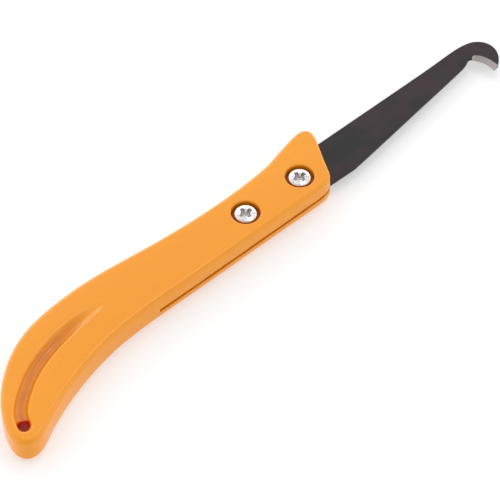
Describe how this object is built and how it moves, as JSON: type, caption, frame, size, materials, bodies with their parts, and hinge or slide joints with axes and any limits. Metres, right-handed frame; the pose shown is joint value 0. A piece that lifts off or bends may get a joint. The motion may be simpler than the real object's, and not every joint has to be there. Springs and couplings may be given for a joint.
{
  "type": "hoof knife",
  "caption": "Hook-bladed farrier's trimming knife: curved moulded handle with a hanging hole, and a flat steel blade ending in a sharpened hook, clamped in a slot by screws and nuts.",
  "frame": {"origin": "middle of the knife's outline, on the flat back face that it lies on", "axes": "+X along the handle towards the hook, +Y towards the spine, +Z out of the face with the screw heads"},
  "size_m": [0.2056, 0.0373, 0.009],
  "materials": {
    "handle": "semi-gloss moulded",
    "blade": "black oxide, ground edge",
    "screws": "bright nickel plate",
    "nuts": "zinc plate"
  },
  "bodies": {
    "root": {"handle": "handle", "hook_blade": "blade", "front_screw": "screws", "rear_screw": "screws", "front_nut": "nuts", "rear_nut": "nuts"}
  },
  "joints": []
}
